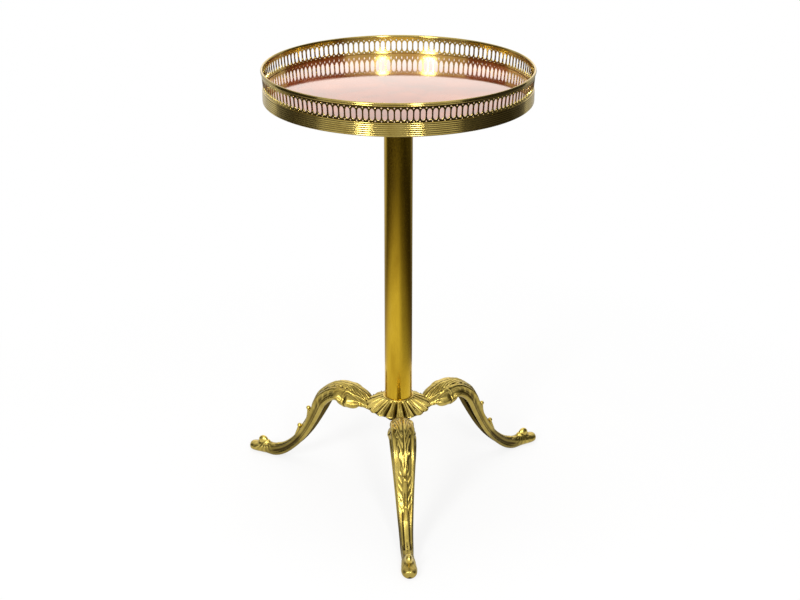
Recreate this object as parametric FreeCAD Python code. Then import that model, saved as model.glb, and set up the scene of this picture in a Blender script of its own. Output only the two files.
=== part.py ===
import FreeCAD, Part
import math
import os

from FreeCAD import Vector

# Wine table: a marble disc in a pierced brass gallery, on a brass column and three cast cabriole legs.
# Millimetres. The origin is on the floor under the column, +Z is up, and one leg points along -Y.

# Overall sizes
TABLE_HEIGHT = 534.5          # floor to the top of the gallery bead
BAND_RADIUS = 152.4           # over the crests of the reeds
FOOT_REACH = 214.5            # column axis to the tip of a toe
LEG_START_HEIGHT = 106.8      # middle of a leg where it leaves the collar
LEG_NAMES = ("leg_front", "leg_right", "leg_left")
FRONT_ANGLE = -90.0           # where the first leg points

# Fits
TUBE_FIT = 0.1                # tube in its sleeve and cup, collar on the tube
THREAD_FIT = 0.1              # rods and screws in their threads, on the radius
BOLT_FIT = 0.3                # bolts in clear holes, on the radius
MARBLE_GAP = 0.4              # loose marble inside the bead, which it passes when it is lifted out
ARM_FIT = 0.2                 # hub arm in the slot of a leg root, on each side
COLLAR_GAP = 0.5              # cast collar to the legs beside and under it

# Gallery
GALLERY_FLATS = 72            # the strip is bent up in short flats
GALLERY_HEIGHT = 36.4         # foot of the band to the top of the bead
BAND_HEIGHT = 14.8
BAND_THICKNESS = 1.0          # from the crests of the reeds to the strip
BAND_FILLET = 1.8             # plain fillet above the reeds
FILLET_SET_BACK = 0.3         # behind the crests
REED_COUNT = 6
REED_BULGE = 0.5
STRIP_THICKNESS = 1.2
STRIP_FLARE = 1.6             # how far the strip leans out from the band to the bead
SLOT_COUNT = 144
SLOT_WIDTH = 4.4
SLOT_HEIGHT = 12.4
SLOT_CENTRE_BELOW_RIM = 13.0
BEAD_WIDTH = 2.8
BEAD_HEIGHT = 2.4

# Tray
PLATE_THICKNESS = 2.5
MARBLE_THICKNESS = 12.0

# Column
TUBE_RADIUS = 16.5
TUBE_WALL = 1.5
ROD_RADIUS = 4.0
ROD_END_COVER = 2.0           # metal left over the top end of the rod
FLANGE_ACROSS_FLATS = 74.0
FLANGE_RIM = 3.5
FLANGE_DEPTH = 19.0
SLEEVE_WALL = 2.6
SLEEVE_DEPTH = 13.0           # how far the tube goes into the flange
FLANGE_SCREW_COUNT = 3
FLANGE_SCREW_CIRCLE = 32.0
FLANGE_SCREW_RADIUS = 2.0
FLANGE_SCREW_ACROSS_FLATS = 7.0
FLANGE_SCREW_HEAD = 2.8
FLANGE_SCREW_IN_PLATE = 2.0

# Hub and collar
HUB_FLOOR = 12.0              # hub bottom to the seat of the tube
HUB_ACROSS_FLATS = 40.0
CUP_WALL = 3.5
CUP_DEPTH = 8.0
ARM_WIDTH = 12.0
ARM_THICKNESS = 8.0
ARM_REACH = 36.0
COLLAR_RADIUS = 40.0          # over the crests of the lobes at the lip
COLLAR_LOBES = 18
COLLAR_HEIGHT = 12.6          # lip to the top ring
COLLAR_LIP = 3.0
COLLAR_RING = 1.3             # wall of the top ring
COLLAR_RING_HEIGHT = 5.2
LOBE_DEPTH = 1.6              # crest of a lobe over the valley beside it, at the lip

# Collar from its foot to its top ring: shares of the run from ring to lip, of the height over the lip,
# and of the lobe depth.
COLLAR_FOOT = (0.91, -COLLAR_LIP / COLLAR_HEIGHT, 0.7)
COLLAR_PROFILE = [
    COLLAR_FOOT,
    (1.00, 0.00, 1.0),
    (0.92, 0.21, 1.0),
    (0.69, 0.44, 0.9),
    (0.39, 0.66, 0.7),
    (0.12, 0.85, 0.4),
    (0.00, 1.00, 0.0),
]

# Fasteners under the hub
WASHER_SIDE = 18.0
WASHER_THICKNESS = 1.6
NUT_ACROSS_FLATS = 13.0
NUT_HEIGHT = 6.5
ROD_BELOW_NUT = 2.0
BOLT_CIRCLE = 30.0
BOLT_RADIUS = 2.5
BOLT_ACROSS_FLATS = 8.0
BOLT_HEAD = 3.5
BOLT_IN_ARM = 6.0

# Legs
ROOT_WIDTH = 19.0
ARM_DROP = 1.4                # underside of the hub arm below the middle of the leg's start
ROOT_DROP = 6.8               # flat under the root below the middle of the leg's start
ROOT_OVERLAP = 3.0            # how far the root block runs into the casting

# Right half of a leg's section, from the midrib down to the edge of the open back, as shares of the half
# width and half depth: flute, shoulder, waist, rib and back edge.
SECTION_SIDE = [(0.30, 0.76), (0.76, 0.60), (0.86, -0.15), (1.00, -0.55), (0.84, -1.00)]
CHANNEL_SHARE = 0.50          # half width of the channel floor

# Stations along a leg from the collar to the toe: shares of the span and of the start height for the
# middle line, shares of the largest half width and half depth, and depth of the channel in the back as a
# share of the half depth there.
LEG_HALF_WIDTH = 16.2
LEG_HALF_DEPTH = 14.2
LEG_STATIONS = [
    (0.000, 1.000, 0.586, 0.408, 0.0),
    (0.050, 1.039, 0.778, 0.599, 0.0),
    (0.108, 1.047, 0.920, 0.901, 0.0),
    (0.165, 1.057, 0.988, 1.000, 0.1),
    (0.211, 1.080, 1.000, 0.775, 0.3),
    (0.260, 1.070, 0.994, 0.662, 0.6),
    (0.315, 1.014, 0.969, 0.634, 0.9),
    (0.369, 0.922, 0.914, 0.676, 1.1),
    (0.415, 0.770, 0.821, 0.620, 1.1),
    (0.459, 0.622, 0.735, 0.556, 1.1),
    (0.511, 0.472, 0.654, 0.521, 1.1),
    (0.571, 0.333, 0.580, 0.458, 1.0),
    (0.631, 0.228, 0.525, 0.451, 0.7),
    (0.704, 0.135, 0.488, 0.486, 0.4),
    (0.789, 0.077, 0.469, 0.563, 0.1),
    (0.864, 0.071, 0.512, 0.563, 0.0),
    (0.939, 0.058, 0.605, 0.465, 0.0),
    (0.983, 0.045, 0.531, 0.345, 0.0),
    (1.000, 0.038, 0.309, 0.197, 0.0),
]

# Round knob on the instep
KNOB_OUT = 0.894              # its place, as a share of the span
KNOB_TOP = 22.8
KNOB_HEIGHT = 12.0
KNOB_RADIUS = 3.8
KNOB_SIDES = 8
KNOB_PROFILE = [(0.0, 0.75), (0.35, 1.0), (0.75, 0.8), (1.0, 0.3)]   # shares of the height and radius

# Derived places
rim_top = TABLE_HEIGHT
band_bottom = rim_top - GALLERY_HEIGHT
band_top = band_bottom + BAND_HEIGHT
strip_outer = BAND_RADIUS - BAND_THICKNESS
strip_inner = strip_outer - STRIP_THICKNESS
strip_top = rim_top - BEAD_HEIGHT
plate_top = band_bottom + PLATE_THICKNESS
bead_middle = strip_inner + STRIP_THICKNESS / 2 + STRIP_FLARE
bead_inner = bead_middle - BEAD_WIDTH / 2
bead_outer = bead_middle + BEAD_WIDTH / 2
marble_radius = min(strip_inner, bead_inner) * math.cos(math.pi / GALLERY_FLATS) - MARBLE_GAP
tube_inner = TUBE_RADIUS - TUBE_WALL
tube_top = band_bottom - FLANGE_DEPTH + SLEEVE_DEPTH
flange_rim_bottom = band_bottom - FLANGE_RIM
arm_bottom = LEG_START_HEIGHT - ARM_DROP
arm_top = arm_bottom + ARM_THICKNESS
hub_seat = arm_top
hub_bottom = hub_seat - HUB_FLOOR
cup_inner = TUBE_RADIUS + TUBE_FIT
cup_outer = cup_inner + CUP_WALL
collar_seat = hub_seat + CUP_DEPTH
collar_top = collar_seat + COLLAR_RING_HEIGHT
collar_lip = collar_top - COLLAR_HEIGHT
collar_bottom = collar_lip - COLLAR_LIP
root_bottom = LEG_START_HEIGHT - ROOT_DROP
root_inner = HUB_ACROSS_FLATS / 2 + ARM_FIT
leg_start = COLLAR_RADIUS + COLLAR_GAP
leg_span = FOOT_REACH - leg_start
rod_hole = ROD_RADIUS + THREAD_FIT
rod_top = band_bottom - ROD_END_COVER
nut_bottom = hub_bottom - WASHER_THICKNESS - NUT_HEIGHT
rod_bottom = nut_bottom - ROD_BELOW_NUT


def polygon_face(points):
    corners = [Vector(*p) for p in points]
    return Part.Face(Part.makePolygon(corners + corners[:1]))


def revolved(points):
    """Solid of revolution about Z from corners (radius, height)."""
    face = polygon_face([(r, 0, z) for r, z in points])
    return face.revolve(Vector(0, 0, 0), Vector(0, 0, 1), 360)


def ring(outer, inner, bottom, top):
    return revolved([(inner, bottom), (outer, bottom), (outer, top), (inner, top)])


def disc(radius, bottom, top):
    return Part.makeCylinder(radius, top - bottom, Vector(0, 0, bottom))


def polar(shape, count, first=0.0):
    """Copies of a shape turned about Z."""
    copies = []
    for i in range(count):
        copy = shape.copy()
        copy.rotate(Vector(0, 0, 0), Vector(0, 0, 1), first + 360.0 * i / count)
        copies.append(copy)
    return copies


def regular_polygon(radius, sides, height, first=0.5):
    """Corners on a circle. first is the place of the first corner, in sides from +X."""
    corners = []
    for i in range(sides):
        turn = 2 * math.pi * (first + i) / sides
        corners.append(Vector(radius * math.cos(turn), radius * math.sin(turn), height))
    return corners


def skinned(sections):
    """Solid through closed sections that have equal numbers of corners, in plane facets."""
    faces = [polygon_face(sections[0]), polygon_face(sections[-1])]
    for here, there in zip(sections, sections[1:]):
        for i in range(len(here)):
            faces.append(polygon_face([here[i - 1], here[i], there[i]]))
            faces.append(polygon_face([here[i - 1], there[i], there[i - 1]]))
    return Part.makeSolid(Part.makeShell(faces))


def prism(corners, height):
    return polygon_face(corners).extrude(Vector(0, 0, height))


def hexagon(across_flats, bottom, height, x=0.0):
    shape = prism(regular_polygon(across_flats / math.sqrt(3), 6, bottom, 0), height)
    shape.translate(Vector(x, 0, 0))
    return shape


# Gallery and tray
def bent_ring(profile):
    """Ring of short flats with the section given by corners (radius, height)."""
    wires = []
    for i in range(GALLERY_FLATS):
        turn = 2 * math.pi * (i + 0.5) / GALLERY_FLATS
        corners = [Vector(r * math.cos(turn), r * math.sin(turn), z) for r, z in profile]
        wires.append(Part.makePolygon(corners + corners[:1]))
    return Part.makeLoft(wires, True, True, True)


def make_gallery_strip():
    strip = bent_ring([
        (strip_inner, band_bottom),
        (strip_outer, band_bottom),
        (strip_outer, band_top),
        (strip_outer + STRIP_FLARE, strip_top),
        (strip_inner + STRIP_FLARE, strip_top),
        (strip_inner, band_top),
    ])
    slot_bottom = rim_top - SLOT_CENTRE_BELOW_RIM - SLOT_HEIGHT / 2
    slot = Part.makeBox(
        3 * STRIP_THICKNESS + STRIP_FLARE,
        SLOT_WIDTH,
        SLOT_HEIGHT,
        Vector(strip_inner - STRIP_THICKNESS, -SLOT_WIDTH / 2, slot_bottom),
    )
    return strip.cut(polar(slot, SLOT_COUNT, 180.0 / SLOT_COUNT))


def make_gallery_bead():
    shoulder = strip_top + BEAD_HEIGHT / 3
    return bent_ring([
        (bead_inner, strip_top),
        (bead_outer, strip_top),
        (bead_outer, shoulder),
        (bead_middle, rim_top),
        (bead_inner, shoulder),
    ])


def make_reeded_band():
    root = BAND_RADIUS - REED_BULGE
    reed = (BAND_HEIGHT - BAND_FILLET) / REED_COUNT
    outline = [(strip_outer, band_bottom), (root, band_bottom)]
    for i in range(REED_COUNT):
        outline.append((BAND_RADIUS, band_bottom + (i + 0.5) * reed))
        outline.append((root, band_bottom + (i + 1) * reed))
    outline += [(BAND_RADIUS - FILLET_SET_BACK, band_top - BAND_FILLET / 2), (strip_outer, band_top)]
    return bent_ring(outline)


def flange_screw_place(shape):
    """Copies of a shape drawn on the axis, one at each screw of the flange."""
    moved = shape.copy()
    moved.translate(Vector(FLANGE_SCREW_CIRCLE, 0, 0))
    return polar(moved, FLANGE_SCREW_COUNT, 180.0 / FLANGE_SCREW_COUNT)


def make_flange_screws():
    head = hexagon(FLANGE_SCREW_ACROSS_FLATS, flange_rim_bottom - FLANGE_SCREW_HEAD, FLANGE_SCREW_HEAD)
    shank = disc(FLANGE_SCREW_RADIUS, flange_rim_bottom, band_bottom + FLANGE_SCREW_IN_PLATE)
    return Part.makeCompound(flange_screw_place(head.fuse(shank)))


def make_tray_plate():
    plate = prism(regular_polygon(strip_inner, GALLERY_FLATS, band_bottom), PLATE_THICKNESS)
    hole_top = band_bottom + FLANGE_SCREW_IN_PLATE + THREAD_FIT
    hole = disc(FLANGE_SCREW_RADIUS + THREAD_FIT, band_bottom, hole_top)
    return plate.cut(flange_screw_place(hole))


def make_marble_top():
    return disc(marble_radius, plate_top, plate_top + MARBLE_THICKNESS)


# Column
def make_column_tube():
    return ring(TUBE_RADIUS, tube_inner, hub_seat, tube_top)


def make_column_flange():
    sleeve_inner = TUBE_RADIUS + TUBE_FIT
    rim = hexagon(FLANGE_ACROSS_FLATS, flange_rim_bottom, FLANGE_RIM)
    sleeve = disc(sleeve_inner + SLEEVE_WALL, band_bottom - FLANGE_DEPTH, flange_rim_bottom)
    socket = disc(sleeve_inner, band_bottom - FLANGE_DEPTH, tube_top)
    rod_end = disc(rod_hole, tube_top, rod_top)
    hole = disc(FLANGE_SCREW_RADIUS + BOLT_FIT, flange_rim_bottom, band_bottom)
    return rim.fuse(sleeve).cut([socket, rod_end] + flange_screw_place(hole))


def make_tie_rod():
    return disc(ROD_RADIUS, rod_bottom, rod_top)


# Hub, collar and fasteners
def bolt_hole(radius, bottom, top):
    return Part.makeCylinder(radius, top - bottom, Vector(BOLT_CIRCLE, 0, bottom))


def make_hub():
    boss = hexagon(HUB_ACROSS_FLATS, hub_bottom, HUB_FLOOR)
    cup = disc(cup_outer, hub_seat, collar_seat)
    arm_start = HUB_ACROSS_FLATS / 4
    arm = Part.makeBox(
        ARM_REACH - arm_start, ARM_WIDTH, ARM_THICKNESS, Vector(arm_start, -ARM_WIDTH / 2, arm_bottom)
    )
    arm = arm.cut(bolt_hole(BOLT_RADIUS + THREAD_FIT, arm_bottom, arm_bottom + BOLT_IN_ARM + THREAD_FIT))
    seat = disc(cup_inner, hub_seat, collar_seat)
    bore = disc(rod_hole, hub_bottom, hub_seat)
    return boss.fuse([cup] + turned_to_legs(arm)).removeSplitter().cut([seat, bore])


def lobed_outline(radius, height, depth):
    """A closed outline with one ridge for each lobe, and a lobe over the front leg."""
    corners = []
    for i in range(2 * COLLAR_LOBES):
        turn = -math.pi / 2 + i * math.pi / COLLAR_LOBES
        reach = radius - depth * (i % 2)
        corners.append(Vector(reach * math.cos(turn), reach * math.sin(turn), height))
    return corners


def make_collar():
    ring_radius = TUBE_RADIUS + TUBE_FIT + COLLAR_RING
    span = COLLAR_RADIUS - ring_radius
    lobes = skinned([
        lobed_outline(ring_radius + out * span, collar_lip + up * COLLAR_HEIGHT, depth * LOBE_DEPTH)
        for out, up, depth in COLLAR_PROFILE
    ])
    lip_inner = math.hypot(ARM_REACH, ARM_WIDTH / 2) + ARM_FIT
    hollow_sides = 2 * COLLAR_LOBES
    hollow = skinned([
        regular_polygon(lip_inner, hollow_sides, collar_bottom - COLLAR_LIP, 0),
        regular_polygon(lip_inner, hollow_sides, collar_lip, 0),
        regular_polygon(cup_outer + COLLAR_GAP, hollow_sides, collar_seat, 0),
    ])
    bore = disc(TUBE_RADIUS + TUBE_FIT, collar_seat - COLLAR_LIP, collar_top + COLLAR_LIP)
    return lobes.cut([hollow, bore])


def make_rod_washer():
    bottom = hub_bottom - WASHER_THICKNESS
    plate = prism(regular_polygon(WASHER_SIDE / math.sqrt(2), 4, bottom), WASHER_THICKNESS)
    return plate.cut(disc(ROD_RADIUS + BOLT_FIT, bottom, hub_bottom))


def make_rod_nut():
    nut = hexagon(NUT_ACROSS_FLATS, nut_bottom, NUT_HEIGHT)
    return nut.cut(disc(rod_hole, nut_bottom, nut_bottom + NUT_HEIGHT))


def turned_to_legs(shape):
    """A copy of a shape drawn along +X at each leg."""
    return polar(shape, len(LEG_NAMES), FRONT_ANGLE)


def make_leg_bolts():
    head = hexagon(BOLT_ACROSS_FLATS, root_bottom - BOLT_HEAD, BOLT_HEAD, BOLT_CIRCLE)
    shank = bolt_hole(BOLT_RADIUS, root_bottom, arm_bottom + BOLT_IN_ARM)
    return Part.makeCompound(turned_to_legs(head.fuse(shank)))


# Legs, drawn along +X and turned to their places
def station_points():
    return [Vector(leg_start + s[0] * leg_span, 0, s[1] * LEG_START_HEIGHT) for s in LEG_STATIONS]


def leg_section(spine, point, sizes):
    """Cast section: a midrib between two flutes, raised ribs on the lower edges, a channel in the back."""
    half_width = sizes[0] * LEG_HALF_WIDTH
    half_depth = sizes[1] * LEG_HALF_DEPTH
    channel = sizes[2]
    tangent = spine.tangent(spine.parameter(point))[0]
    normal = Vector(-tangent.z, 0, tangent.x)
    right = [(across * half_width, up * half_depth) for across, up in SECTION_SIDE]
    right.append((CHANNEL_SHARE * half_width, (channel - 1) * half_depth))
    left = [(-across, up) for across, up in reversed(right)]
    corners = []
    for across, up in [(0, half_depth)] + right + left:
        corners.append(point + Vector(0, across, 0) + normal * up)
    return corners


def make_knob():
    """Turned knob, drawn on the axis and moved out to the instep."""
    bottom = KNOB_TOP - KNOB_HEIGHT
    knob = skinned([
        regular_polygon(share * KNOB_RADIUS, KNOB_SIDES, bottom + rise * KNOB_HEIGHT)
        for rise, share in KNOB_PROFILE
    ])
    knob.translate(Vector(leg_start + KNOB_OUT * leg_span, 0, 0))
    return knob


def make_leg():
    points = station_points()
    spine = Part.BSplineCurve()
    spine.interpolate(points)
    sections = [leg_section(spine, point, station[2:]) for point, station in zip(points, LEG_STATIONS)]
    body = skinned(sections)
    root = Part.makeBox(
        leg_start - root_inner + ROOT_OVERLAP,
        ROOT_WIDTH,
        collar_bottom - COLLAR_GAP - root_bottom,
        Vector(root_inner, -ROOT_WIDTH / 2, root_bottom),
    )
    slot_width = ARM_WIDTH + 2 * ARM_FIT
    slot = Part.makeBox(
        ARM_REACH + ARM_FIT,
        slot_width,
        2 * ARM_THICKNESS,
        Vector(0, -slot_width / 2, arm_bottom),
    )
    hole = bolt_hole(BOLT_RADIUS + BOLT_FIT, 0, arm_top)
    below_floor = Part.makeBox(
        2 * FOOT_REACH, FOOT_REACH, FOOT_REACH, Vector(0, -FOOT_REACH / 2, -FOOT_REACH)
    )
    return body.fuse([root, make_knob()]).cut([slot, hole, below_floor])


def write(name, shape):
    shape.exportStep(f"parts/{name}.step")
    print(f"{name}: solids {len(shape.Solids)}, {shape.Volume / 1000:.2f} cm3, valid {shape.isValid()}")


def main():
    os.makedirs("parts", exist_ok=True)
    write("marble_top", make_marble_top())
    write("gallery_strip", make_gallery_strip())
    write("gallery_bead", make_gallery_bead())
    write("reeded_band", make_reeded_band())
    write("tray_plate", make_tray_plate())
    write("flange_screws", make_flange_screws())
    write("column_flange", make_column_flange())
    write("column_tube", make_column_tube())
    write("tie_rod", make_tie_rod())
    write("hub", make_hub())
    write("collar", make_collar())
    write("leg_bolts", make_leg_bolts())
    write("rod_washer", make_rod_washer())
    write("rod_nut", make_rod_nut())
    for name, leg in zip(LEG_NAMES, turned_to_legs(make_leg())):
        write(name, leg)


main()
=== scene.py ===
import math

import bmesh
import bpy
import numpy as np
from mathutils import Matrix, Vector
from mathutils.geometry import delaunay_2d_cdt


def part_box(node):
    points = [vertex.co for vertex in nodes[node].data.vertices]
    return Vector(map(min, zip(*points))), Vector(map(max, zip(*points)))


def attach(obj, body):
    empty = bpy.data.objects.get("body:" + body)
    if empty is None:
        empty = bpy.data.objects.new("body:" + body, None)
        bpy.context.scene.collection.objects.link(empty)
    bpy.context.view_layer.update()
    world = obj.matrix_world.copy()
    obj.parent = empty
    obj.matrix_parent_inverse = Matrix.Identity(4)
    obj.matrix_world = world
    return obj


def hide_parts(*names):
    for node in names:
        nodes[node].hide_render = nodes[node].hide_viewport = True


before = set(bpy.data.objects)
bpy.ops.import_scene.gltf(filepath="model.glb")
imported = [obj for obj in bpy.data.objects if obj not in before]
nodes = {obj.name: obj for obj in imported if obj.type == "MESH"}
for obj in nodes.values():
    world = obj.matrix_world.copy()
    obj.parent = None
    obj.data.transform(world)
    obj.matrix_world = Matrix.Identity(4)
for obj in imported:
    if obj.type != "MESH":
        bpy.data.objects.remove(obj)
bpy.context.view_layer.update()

# Wine table in metres, in the frame of the solids: origin on the floor under the column, front leg along -Y.
MM = 0.001


# Places read from the frame
def reach(name):
    """Largest distance of a node from the column axis."""
    return max(math.hypot(v.co.x, v.co.y) for v in nodes[name].data.vertices)


def near(name):
    """Smallest distance of a node's corners from the column axis."""
    return min(math.hypot(v.co.x, v.co.y) for v in nodes[name].data.vertices)


FLATS = 72                              # the solids' rings are bent up in flats
INSCRIBED = math.cos(math.pi / FLATS)   # a true circle inside those flats
band_low, band_high = (v.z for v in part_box("reeded_band"))
band_radius = reach("reeded_band") * INSCRIBED
strip_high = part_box("gallery_strip")[1].z
strip_top_outer = reach("gallery_strip") * INSCRIBED
strip_inner = near("gallery_strip") * INSCRIBED
strip_outer = near("reeded_band") * INSCRIBED
strip_middle = (strip_outer + strip_inner) / 2
strip_flare = strip_top_outer - strip_outer
bead_low, rim = (v.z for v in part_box("gallery_bead"))
bead_inner = near("gallery_bead") * INSCRIBED
bead_outer = reach("gallery_bead") * INSCRIBED
marble_low, marble_high = (v.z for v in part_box("marble_top"))
marble_radius = reach("marble_top")
tube_low, tube_high = (v.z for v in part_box("column_tube"))
tube_radius = reach("column_tube")
tube_inner = near("column_tube")
collar_radius = reach("collar")
collar_bore = near("collar")
collar_low, collar_high = (v.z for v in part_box("collar"))
foot_reach = reach("leg_front")
root_inner = near("leg_front")

# Shared by all meshes
RING_STEPS = 288                        # points round a turned piece
PLAIN_WEAR = 0.75                       # wear of a surface without relief
SHARP_ANGLE = 0.7                       # edges sharper than this stay sharp, in radians


# Small helpers
def smooth(x, low, high):
    """0 below low, 1 above high, smooth between."""
    t = np.clip((x - low) / (high - low), 0.0, 1.0)
    return t * t * (3 - 2 * t)


def bump(x, centre, width):
    """Bell curve, 1 at its centre."""
    return np.exp(-((x - centre) / width) ** 2)


def window(x, low, high, edge):
    """1 from low to high, falling to 0 within an edge on either side."""
    return smooth(x, low - edge, low) * (1 - smooth(x, high, high + edge))


def spline(points, steps, closed=False):
    """Catmull-Rom curve through rows of numbers, with steps points to a stretch."""
    p = np.asarray(points, float)
    if closed:
        padded = np.vstack([p[-1:], p, p[:2]])
    else:
        padded = np.vstack([2 * p[:1] - p[1:2], p, 2 * p[-1:] - p[-2:-1]])
    out = []
    for i in range(len(padded) - 3):
        a, b, c, d = padded[i:i + 4]
        squared, cubed = 2 * a - 5 * b + 4 * c - d, 3 * b - a - 3 * c + d
        for t in np.arange(steps) / steps:
            out.append(0.5 * (2 * b + (c - a) * t + squared * t ** 2 + cubed * t ** 3))
    if not closed:
        out.append(p[-1])
    return np.array(out)


def new_mesh(name, points, faces, wear_and_shade=None, sharp=SHARP_ANGLE):
    """Mesh with smooth shading and a value of wear and painted shade at each point: 0 in recesses and painted
    shade, 1 where it is rubbed bright.
    """
    mesh = bpy.data.meshes.new(name)
    mesh.from_pydata([tuple(p) for p in points], [], [tuple(f) for f in faces])
    mesh.validate()
    edit = bmesh.new()
    edit.from_mesh(mesh)
    bmesh.ops.recalc_face_normals(edit, faces=edit.faces)
    edit.to_mesh(mesh)
    edit.free()
    layer = mesh.attributes.new("wear_and_shade", "FLOAT", "POINT")
    values = np.full(len(mesh.vertices), PLAIN_WEAR) if wear_and_shade is None else np.asarray(wear_and_shade, float).ravel()
    layer.data.foreach_set("value", values.astype(np.float32))
    mesh.polygons.foreach_set("use_smooth", [True] * len(mesh.polygons))
    if sharp:
        mesh.set_sharp_from_angle(angle=sharp)
    return mesh


def add_piece(name, mesh, mat, body, slot, *replaced):
    """An object that rides on a body and stands for the named solids."""
    obj = bpy.data.objects.new(name, mesh)
    bpy.context.scene.collection.objects.link(obj)
    mesh.materials.append(mat)
    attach(obj, body)
    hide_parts(*replaced)
    return obj


def grid_faces(rows, columns, wrap_rows=False):
    """Quads of a grid of points stored row by row, each row closed to a ring."""
    faces = []
    for i in range(rows if wrap_rows else rows - 1):
        k = (i + 1) % rows
        for j in range(columns):
            n = (j + 1) % columns
            faces.append((i * columns + j, i * columns + n, k * columns + n, k * columns + j))
    return faces


def full_turn(steps):
    """Angles of equal steps round a circle."""
    return np.arange(steps) * 2 * math.pi / steps


def ring(radius, height, turn):
    """Points about Z at the given turns."""
    return np.stack([radius * np.cos(turn), radius * np.sin(turn), np.broadcast_to(height, turn.shape)], 1)


def turned(profile, steps=RING_STEPS):
    """Points of a closed profile (radius, height) turned about Z, one row for each profile point."""
    return np.concatenate([ring(r, z, full_turn(steps)) for r, z in profile])


def turned_mesh(name, profile, wear_and_shade=None, steps=RING_STEPS):
    """Solid of revolution from a closed profile that runs counter-clockwise in (radius, height)."""
    values = None if wear_and_shade is None else np.repeat(wear_and_shade, steps)
    return new_mesh(name, turned(profile, steps), grid_faces(len(profile), steps, wrap_rows=True), values)


class Builder:
    """Collects points, faces and values of wear and painted shade for one mesh."""

    def __init__(self):
        self.points, self.faces, self.wear_and_shade = [], [], []

    def add(self, points, faces, wear_and_shade):
        base = len(self.points)
        self.points += [tuple(p) for p in points]
        self.faces += [tuple(base + i for i in f) for f in faces]
        self.wear_and_shade += list(np.broadcast_to(wear_and_shade, len(points)))

    def ball(self, centre, radii, wear_and_shade, tilt=0.0, rows=14, columns=24):
        """Ellipsoid with its first radius along the tilted run of the leg, then across, then up."""
        up = math.pi * np.arange(1, rows)[:, None] / rows
        turn = full_turn(columns)[None, :]
        unit = np.stack([np.sin(up) * np.cos(turn), np.sin(up) * np.sin(turn), np.cos(up) + 0 * turn], 2)
        unit = np.concatenate([unit.reshape(-1, 3), [(0, 0, 1), (0, 0, -1)]]) * radii
        points = np.stack([
            centre[0] + unit[:, 0] * math.cos(tilt) + unit[:, 2] * math.sin(tilt),
            centre[1] + unit[:, 1],
            centre[2] - unit[:, 0] * math.sin(tilt) + unit[:, 2] * math.cos(tilt),
        ], 1)
        last = (rows - 2) * columns
        top, foot = len(points) - 2, len(points) - 1
        faces = grid_faces(rows - 1, columns)
        faces += [(top, (j + 1) % columns, j) for j in range(columns)]
        faces += [(foot, last + j, last + (j + 1) % columns) for j in range(columns)]
        self.add(points, faces, wear_and_shade)

    def tube(self, path, radii, wear_and_shade, columns=12):
        """Tapered round bar along a path."""
        along = np.gradient(path, axis=0)
        along /= np.linalg.norm(along, axis=1, keepdims=True)
        points = []
        for p, t, r in zip(path, along, radii):
            side = np.cross(t, (0.0, 1.0, 0.0))
            side /= np.linalg.norm(side)
            up = np.cross(side, t)
            points += [p + r * (math.cos(a) * side + math.sin(a) * up) for a in full_turn(columns)]
        faces = grid_faces(len(path), columns)
        faces.append(tuple(range(columns))[::-1])
        faces.append(tuple(range(len(points) - columns, len(points))))
        self.add(points, faces, wear_and_shade)


# Materials
WARM = (1.0, 0.93, 0.78)                # tarnish is warmer than the clean metal
TARNISH = 0.74                          # its brightness beside the clean metal
RUBBED_WEAR = (0.15, 0.75)              # value of wear and painted shade where the metal is dark, and where it is clean
SCRATCH_SCALE, PIT_SCALE = 500.0, 420.0
SCRATCH_STRENGTH, SCRATCH_DEPTH = 0.25, 0.04 * MM
SEAM_HALF = 0.030                       # half width of a marble seam, in values of its noise
SEAM_COLOUR = (0.12, 0.030, 0.014)


def material(name):
    """A new material, with its nodes, its links and its shader."""
    mat = bpy.data.materials.new(name)
    mat.use_nodes = True
    return mat, mat.node_tree.nodes, mat.node_tree.links, mat.node_tree.nodes["Principled BSDF"]


def noise(tree_nodes, links, scale, stretch=(1, 1, 1), detail=4.0, rough=0.55):
    """Noise in object space, stretched along the axes."""
    coords = tree_nodes.new("ShaderNodeTexCoord")
    mapping = tree_nodes.new("ShaderNodeMapping")
    mapping.inputs["Scale"].default_value = stretch
    texture = tree_nodes.new("ShaderNodeTexNoise")
    texture.inputs["Scale"].default_value = scale
    texture.inputs["Detail"].default_value = detail
    texture.inputs["Roughness"].default_value = rough
    links.new(coords.outputs["Object"], mapping.inputs["Vector"])
    links.new(mapping.outputs["Vector"], texture.inputs["Vector"])
    return texture.outputs["Fac"]


def ramp(tree_nodes, links, source, stops):
    """Colour ramp with stops of (place, colour)."""
    node = tree_nodes.new("ShaderNodeValToRGB")
    node.color_ramp.elements.remove(node.color_ramp.elements[1])
    node.color_ramp.elements[0].position = stops[0][0]
    node.color_ramp.elements[0].color = (*stops[0][1], 1)
    for place, colour in stops[1:]:
        node.color_ramp.elements.new(place).color = (*colour, 1)
    links.new(source, node.inputs["Fac"])
    return node.outputs["Color"]


def mix_colour(tree_nodes, links, factor, first, second):
    """Mix from the first colour to the second, each an output or a plain colour."""
    node = tree_nodes.new("ShaderNodeMix")
    node.data_type = "RGBA"
    for value, socket in ((first, node.inputs[6]), (second, node.inputs[7])):
        if isinstance(value, tuple):
            socket.default_value = (*value, 1)
        else:
            links.new(value, socket)
    links.new(factor, node.inputs[0])
    return node.outputs[2]


def map_range(tree_nodes, links, source, low, high, out_low, out_high):
    """Value that runs from out_low to out_high while its source runs from low to high."""
    node = tree_nodes.new("ShaderNodeMapRange")
    for name, value in (("From Min", low), ("From Max", high), ("To Min", out_low), ("To Max", out_high)):
        node.inputs[name].default_value = value
    links.new(source, node.inputs["Value"])
    return node.outputs["Result"]


def math_node(tree_nodes, links, operation, *sources):
    """Math node with its inputs linked to outputs or set to plain numbers."""
    node = tree_nodes.new("ShaderNodeMath")
    node.operation = operation
    for socket, source in zip(node.inputs, sources):
        if isinstance(source, float):
            socket.default_value = source
        else:
            links.new(source, socket)
    return node.outputs["Value"]


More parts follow.
